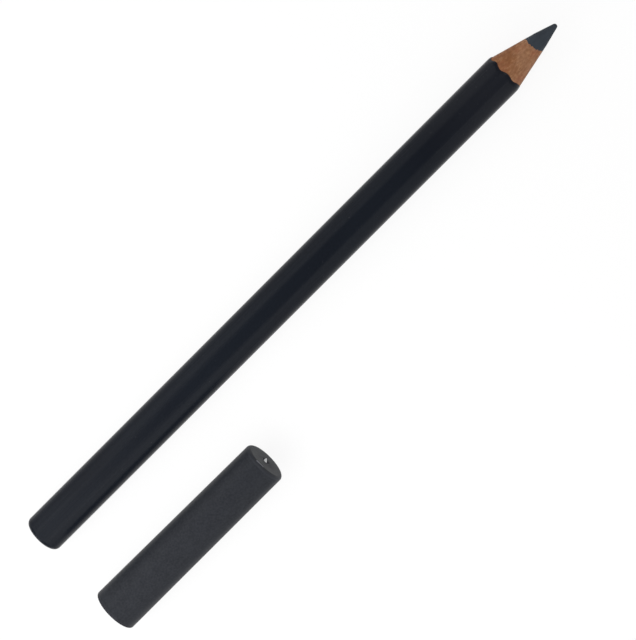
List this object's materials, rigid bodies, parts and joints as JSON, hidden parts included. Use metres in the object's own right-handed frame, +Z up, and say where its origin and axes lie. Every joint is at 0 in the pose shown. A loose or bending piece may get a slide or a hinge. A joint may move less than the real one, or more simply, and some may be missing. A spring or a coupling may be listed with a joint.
{
  "type": "kohl pencil",
  "caption": "Sharpened round wooden kohl pencil in dark satin lacquer, with its matte pull-off cap lying beside it.",
  "frame": {"origin": "on the table plane, under the middle of the box round the pencil and the cap together", "axes": "+X along the pencil towards its point, +Z up from the table; the cap lies on the -Y side with its closed end towards +X"},
  "size_m": [0.1354, 0.0274, 0.0089],
  "materials": {
    "casing_wood": "bare cut cedar, matte",
    "kohl_wax": "matte waxy pigment",
    "dark_lacquer": "satin lacquer",
    "cap_plastic": "matte moulded polypropylene"
  },
  "bodies": {
    "pencil": {"casing_half_upper": "casing_wood", "casing_half_lower": "casing_wood", "kohl_core": "kohl_wax", "lacquer_coat": "dark_lacquer", "end_seal": "dark_lacquer"},
    "cap": {"cap": "cap_plastic"}
  },
  "joints": [
    {"name": "cap_carry", "type": "slide", "parent": "pencil", "child": "cap", "axis": [0.9966, 0.0828, 0], "range_m": [0, 0.2308]}
  ]
}
